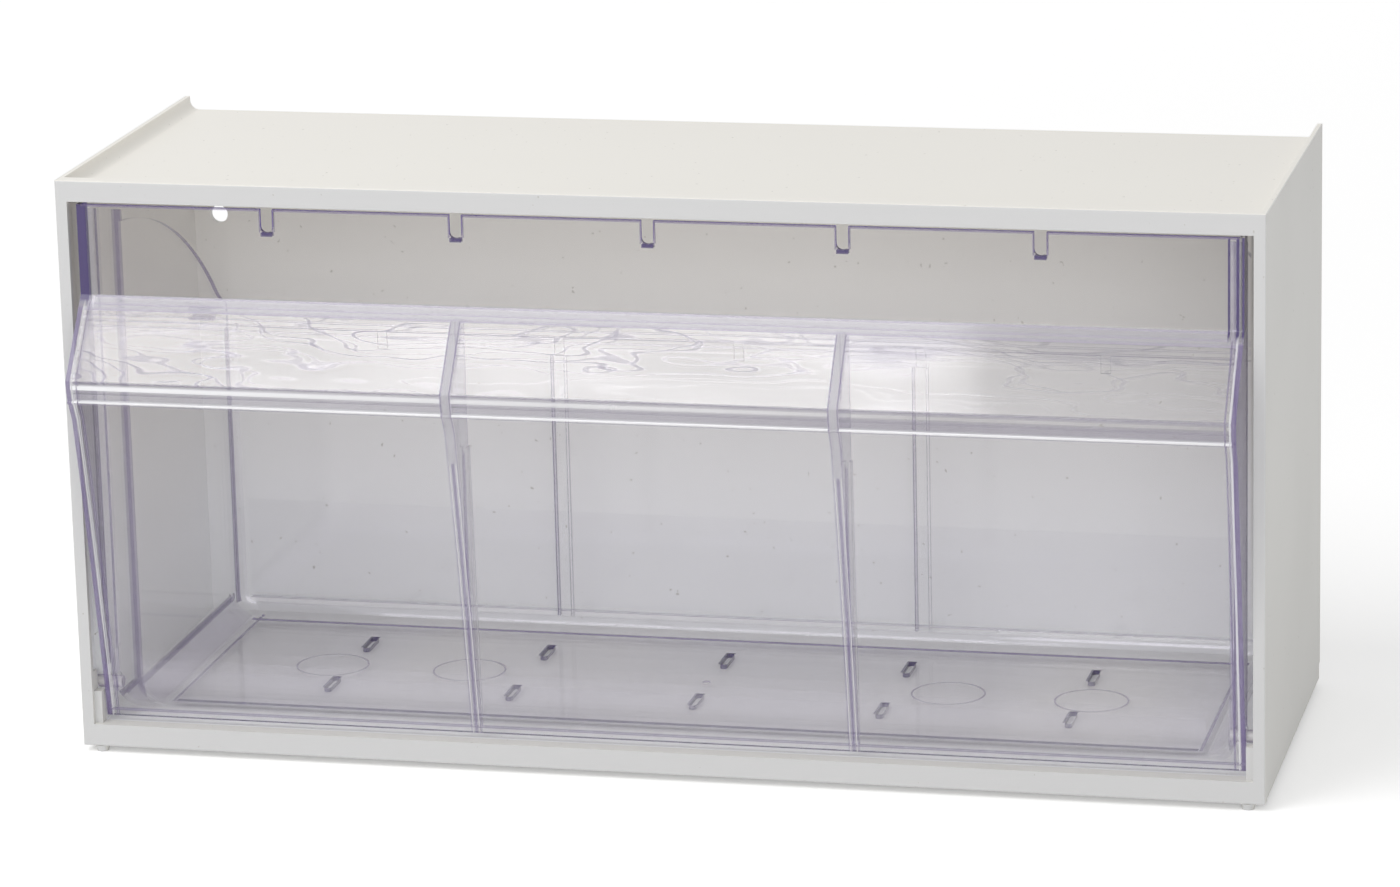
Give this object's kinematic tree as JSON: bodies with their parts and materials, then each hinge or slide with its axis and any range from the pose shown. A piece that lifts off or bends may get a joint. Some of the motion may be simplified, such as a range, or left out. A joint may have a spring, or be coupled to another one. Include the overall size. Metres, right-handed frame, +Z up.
{
  "type": "tilt out bin",
  "caption": "Wide store bin: a pale moulded housing, open at the front, with a clear hopper-shaped bin that tilts out on pins low in its corners.",
  "frame": {"origin": "middle of the whole closed bin, at the underside of its feet", "axes": "+X to the right along the width, +Y to the back, +Z up; the bin tilts out towards -Y"},
  "size_m": [0.6, 0.2364, 0.2954],
  "materials": {
    "housing_plastic": "satin off-white moulding",
    "clear_plastic": "clear, glossy, faint violet at its edges",
    "foot_plastic": "satin off-white moulding"
  },
  "bodies": {
    "cabinet": {"housing": "housing_plastic", "front_left_foot": "foot_plastic", "front_right_foot": "foot_plastic", "back_left_foot": "foot_plastic", "back_right_foot": "foot_plastic"},
    "bin": {"bin_front": "clear_plastic", "bin_tub": "clear_plastic", "left_pivot_pin": "clear_plastic", "right_pivot_pin": "clear_plastic"}
  },
  "joints": [
    {"name": "bin_tilt", "type": "hinge", "parent": "cabinet", "child": "bin", "pos_m": [0, -0.07825, 0.0344], "axis": [1, 0, 0], "range_deg": [0, 45]}
  ]
}
